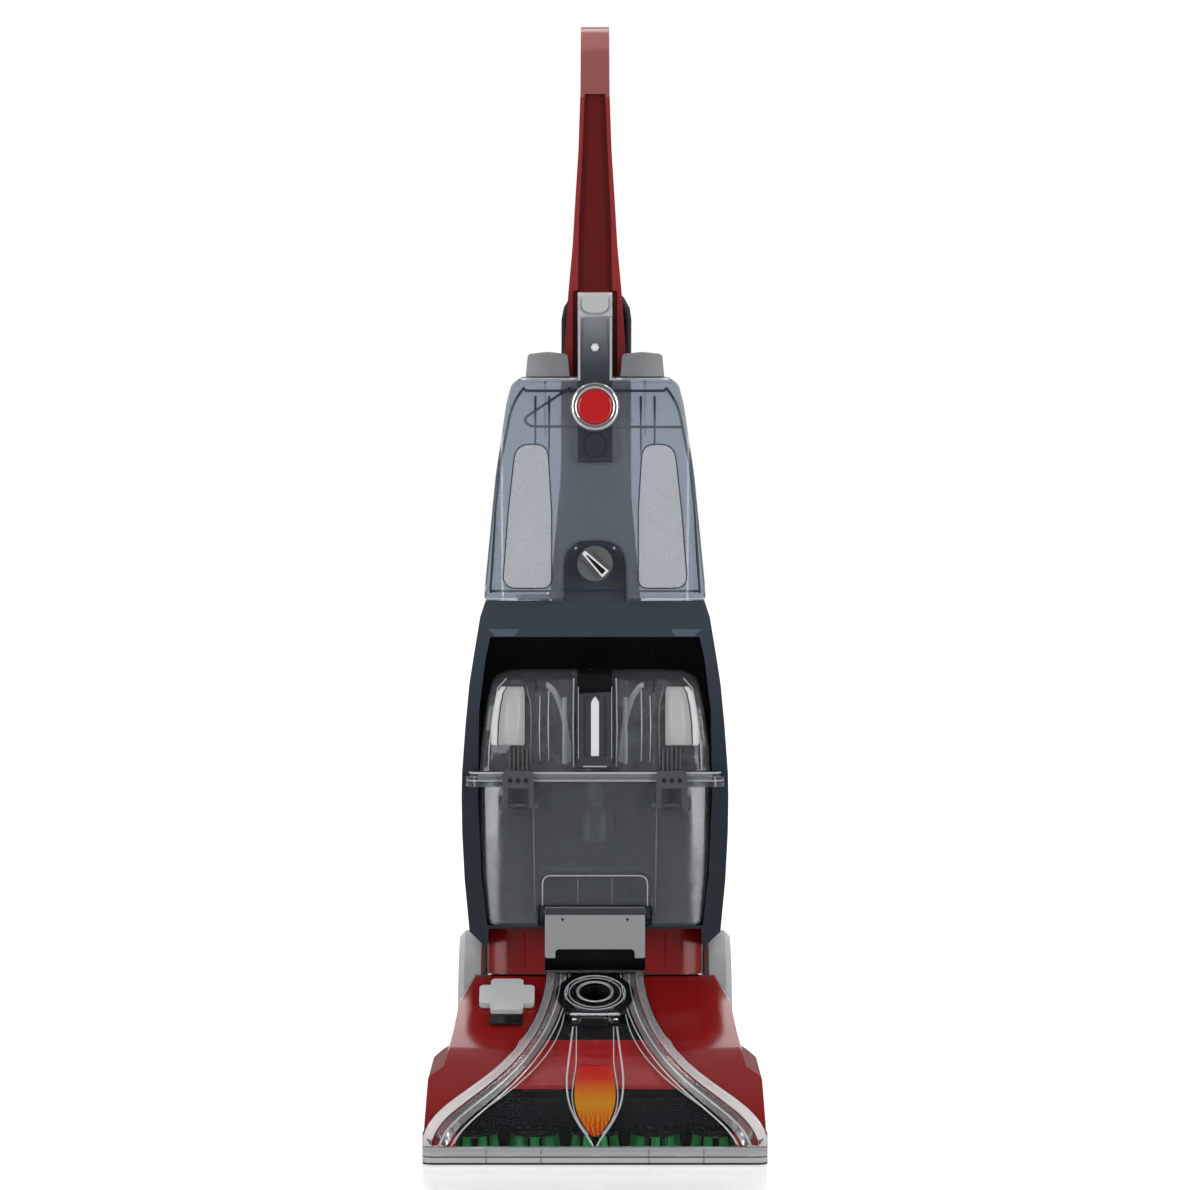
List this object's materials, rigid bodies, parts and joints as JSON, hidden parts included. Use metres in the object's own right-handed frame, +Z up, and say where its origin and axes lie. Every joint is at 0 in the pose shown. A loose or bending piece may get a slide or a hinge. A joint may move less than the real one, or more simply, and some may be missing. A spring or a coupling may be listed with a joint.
{
  "type": "upright carpet cleaner",
  "caption": "Upright carpet cleaner: reclining body, clear lift-off tanks, geared scrubbing brushes, clear suction nozzle and a wrapped power cord.",
  "frame": {"origin": "on the floor under the middle of the machine", "axes": "+X to the right seen from the front, +Y to the rear, +Z up; the nozzle faces -Y"},
  "size_m": [0.34, 0.4212, 1.145],
  "materials": {
    "red_plastic": "gloss",
    "slate_plastic": "satin",
    "black_plastic": "satin",
    "clear_plastic": "clear",
    "smoke_plastic": "clear smoke",
    "blue_smoke_plastic": "clear blue smoke",
    "light_grey_plastic": "gloss",
    "dark_grey_plastic": "satin",
    "steel": "bright",
    "chrome_plastic": "polished",
    "natural_plastic": "matt",
    "green_bristle": "matt",
    "black_rubber": "matt",
    "aluminium": "turned",
    "white_plastic": "gloss"
  },
  "bodies": {
    "base": {"base_pan": "black_plastic", "base_hood": "red_plastic", "nozzle_cover": "clear_plastic", "nozzle_lip": "dark_grey_plastic", "brush_housing": "black_plastic", "brush_pins": "steel", "drive_belt": "black_rubber", "suction_motor": "steel", "fan_housing": "black_plastic", "solution_pump": "dark_grey_plastic", "spray_bar": "dark_grey_plastic", "power_switch": "black_plastic", "port_hinge_pin": "steel", "wheel_axle": "steel"},
    "brush_1": {"brush_gear_1": "natural_plastic", "brush_bristles_1": "green_bristle"},
    "brush_2": {"brush_gear_2": "natural_plastic", "brush_bristles_2": "green_bristle"},
    "brush_3": {"brush_gear_3": "natural_plastic", "brush_bristles_3": "green_bristle", "drive_pulley": "dark_grey_plastic"},
    "brush_4": {"brush_gear_4": "natural_plastic", "brush_bristles_4": "green_bristle"},
    "brush_5": {"brush_gear_5": "natural_plastic", "brush_bristles_5": "green_bristle"},
    "rotor": {"motor_shaft": "steel", "fan_wheel": "aluminium"},
    "power_pedal": {"power_pedal": "light_grey_plastic"},
    "recline_pedal": {"recline_pedal": "black_plastic"},
    "port_door": {"port_door": "clear_plastic"},
    "wheel_left": {"wheel_left": "light_grey_plastic"},
    "wheel_right": {"wheel_right": "light_grey_plastic"},
    "upright": {"body_shell": "slate_plastic", "rear_cover": "slate_plastic", "body_foot": "red_plastic", "valve_receiver": "black_plastic", "handle_front": "red_plastic", "handle_rear": "slate_plastic", "cord_hook_lower": "slate_plastic", "cord_boot": "black_rubber", "cord_lead": "black_rubber", "cord_hank": "black_rubber", "cord_plug": "black_rubber"},
    "release_paddle": {"release_paddle": "light_grey_plastic"},
    "selector_knob": {"selector_knob": "dark_grey_plastic"},
    "recovery": {"recovery_tank": "smoke_plastic", "recovery_lid": "smoke_plastic", "recovery_handle": "dark_grey_plastic"},
    "latch_left": {"tank_latch_left": "dark_grey_plastic"},
    "latch_right": {"tank_latch_right": "dark_grey_plastic"},
    "tank_float": {"tank_float": "dark_grey_plastic"},
    "solution": {"solution_tank": "blue_smoke_plastic", "tank_feet": "light_grey_plastic", "carry_handle": "chrome_plastic", "badge": "chrome_plastic"},
    "carry_button": {"carry_button": "white_plastic"},
    "solution_cap": {"solution_cap": "black_plastic"},
    "trigger": {"trigger": "black_plastic"},
    "trigger_rod": {"trigger_rod": "steel"},
    "cord_hook_upper": {"cord_hook_upper": "slate_plastic"}
  },
  "joints": [
    {"name": "recline", "type": "hinge", "parent": "base", "child": "upright", "pos_m": [0, 0.112, 0.098], "axis": [-1, 0, 0], "range_deg": [0, 50]},
    {"name": "wheel_left_spin", "type": "hinge", "parent": "base", "child": "wheel_left", "pos_m": [-0.12775, 0.112, 0.098], "axis": [1, 0, 0], "continuous": true},
    {"name": "wheel_right_spin", "type": "hinge", "parent": "base", "child": "wheel_right", "pos_m": [0.12775, 0.112, 0.098], "axis": [1, 0, 0], "continuous": true},
    {"name": "brush_3_spin", "type": "hinge", "parent": "base", "child": "brush_3", "pos_m": [0, -0.15, 0.03], "axis": [0, 0, 1], "continuous": true},
    {"name": "brush_1_spin", "type": "hinge", "parent": "base", "child": "brush_1", "pos_m": [-0.12, -0.15, 0.03], "axis": [0, 0, 1], "continuous": true},
    {"name": "brush_2_spin", "type": "hinge", "parent": "base", "child": "brush_2", "pos_m": [-0.06, -0.15, 0.03], "axis": [0, 0, 1], "continuous": true},
    {"name": "brush_4_spin", "type": "hinge", "parent": "base", "child": "brush_4", "pos_m": [0.06, -0.15, 0.03], "axis": [0, 0, 1], "continuous": true},
    {"name": "brush_5_spin", "type": "hinge", "parent": "base", "child": "brush_5", "pos_m": [0.12, -0.15, 0.03], "axis": [0, 0, 1], "continuous": true},
    {"name": "rotor_spin", "type": "hinge", "parent": "base", "child": "rotor", "pos_m": [0, 0.06, 0.09], "axis": [0, 0, 1], "continuous": true},
    {"name": "power_pedal_press", "type": "slide", "parent": "base", "child": "power_pedal", "axis": [0, 0.454, -0.891], "range_m": [0, 0.004], "stiffness_N_per_m": 900, "springref_m": -0.002},
    {"name": "recline_pedal_press", "type": "hinge", "parent": "base", "child": "recline_pedal", "pos_m": [-0.066, 0.175, 0.062], "axis": [-1, 0, 0], "range_deg": [0, 12], "stiffness_Nm_per_rad": 0.6, "springref_deg": -11.46},
    {"name": "port_door_swing", "type": "hinge", "parent": "base", "child": "port_door", "pos_m": [0, -0.0922, 0.13316], "axis": [1, 0, 0], "range_deg": [0, 130]},
    {"name": "selector_turn", "type": "hinge", "parent": "upright", "child": "selector_knob", "pos_m": [0, -0.042, 0.587], "axis": [0, 1, 0], "range_deg": [0, 90]},
    {"name": "trigger_pull", "type": "hinge", "parent": "upright", "child": "trigger", "pos_m": [0, 0.076, 1.07], "axis": [-1, 0, 0], "range_deg": [0, 10.5]},
    {"name": "trigger_rod_push", "type": "slide", "parent": "upright", "child": "trigger_rod", "axis": [0, 0, -1], "range_m": [0, 0.00284], "stiffness_N_per_m": 400, "springref_m": -0.004},
    {"name": "release_paddle_press", "type": "hinge", "parent": "upright", "child": "release_paddle", "pos_m": [0, -0.04, 0.232], "axis": [1, 0, 0], "range_deg": [0, 14], "stiffness_Nm_per_rad": 0.5, "springref_deg": -11.46},
    {"name": "recovery_tank_out", "type": "slide", "parent": "upright", "child": "recovery", "axis": [0, -0.9781, 0.2079], "range_m": [0, 0.25]},
    {"name": "latch_left_open", "type": "hinge", "parent": "recovery", "child": "latch_left", "pos_m": [-0.078, -0.053, 0.3415], "axis": [1, 0, 0], "range_deg": [0, 40]},
    {"name": "latch_right_open", "type": "hinge", "parent": "recovery", "child": "latch_right", "pos_m": [0.078, -0.053, 0.3415], "axis": [1, 0, 0], "range_deg": [0, 40]},
    {"name": "float_rise", "type": "slide", "parent": "recovery", "child": "tank_float", "axis": [0, 0, 1], "range_m": [0, 0.018]},
    {"name": "solution_tank_lift", "type": "slide", "parent": "upright", "child": "solution", "axis": [0, 0, 1], "range_m": [0, 0.09]},
    {"name": "carry_button_press", "type": "slide", "parent": "solution", "child": "carry_button", "axis": [0, 0.6691, -0.7431], "range_m": [0, 0.003], "stiffness_N_per_m": 500, "springref_m": -0.002},
    {"name": "solution_cap_turn", "type": "hinge", "parent": "solution", "child": "solution_cap", "pos_m": [-0.062, 0.022, 0.54], "axis": [0, 0, 1], "range_deg": [0, 90]},
    {"name": "cord_hook_turn", "type": "hinge", "parent": "upright", "child": "cord_hook_upper", "pos_m": [0, 0.095, 0.839], "axis": [0, 1, 0], "range_deg": [0, 180]}
  ],
  "couplings": [
    {"joint": "brush_1_spin", "follows": "brush_3_spin", "ratio": 1},
    {"joint": "brush_2_spin", "follows": "brush_3_spin", "ratio": -1},
    {"joint": "brush_4_spin", "follows": "brush_3_spin", "ratio": -1},
    {"joint": "brush_5_spin", "follows": "brush_3_spin", "ratio": 1},
    {"joint": "rotor_spin", "follows": "brush_3_spin", "ratio": 1.75},
    {"joint": "trigger_pull", "follows": "trigger_rod_push", "rad_per_m": 64.5}
  ]
}
